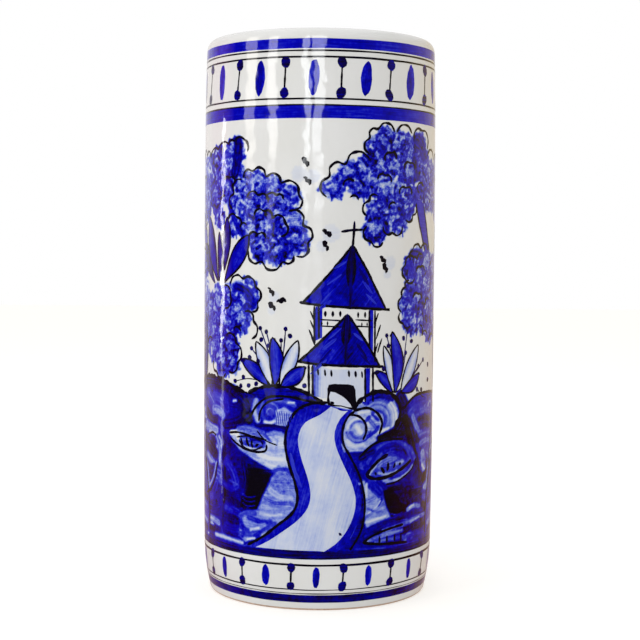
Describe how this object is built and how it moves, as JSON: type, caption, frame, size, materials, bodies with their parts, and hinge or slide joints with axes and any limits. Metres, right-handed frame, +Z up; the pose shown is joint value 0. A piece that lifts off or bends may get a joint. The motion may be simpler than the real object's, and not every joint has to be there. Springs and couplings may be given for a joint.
{
  "type": "umbrella stand",
  "caption": "Tall open glazed ceramic cylinder with a rolled rim, a closed floor and an unglazed foot ring, that stands on the floor and holds umbrellas.",
  "frame": {"origin": "centre of the foot ring's underside, on the surface that the stand rests on", "axes": "+Z up along the cylinder's axis; -Y towards the painted front with the chapel and the path"},
  "size_m": [0.215, 0.215, 0.508],
  "materials": {
    "painted_glaze": "gloss, white tin glaze with hand-painted cobalt blue and black decoration",
    "white_glaze": "gloss, slightly warm white glaze",
    "bare_clay": "matt, unglazed fired clay"
  },
  "bodies": {
    "root": {"barrel_wall": "painted_glaze", "rolled_rim": "white_glaze", "floor_slab": "white_glaze", "foot_ring": "bare_clay"}
  },
  "joints": []
}
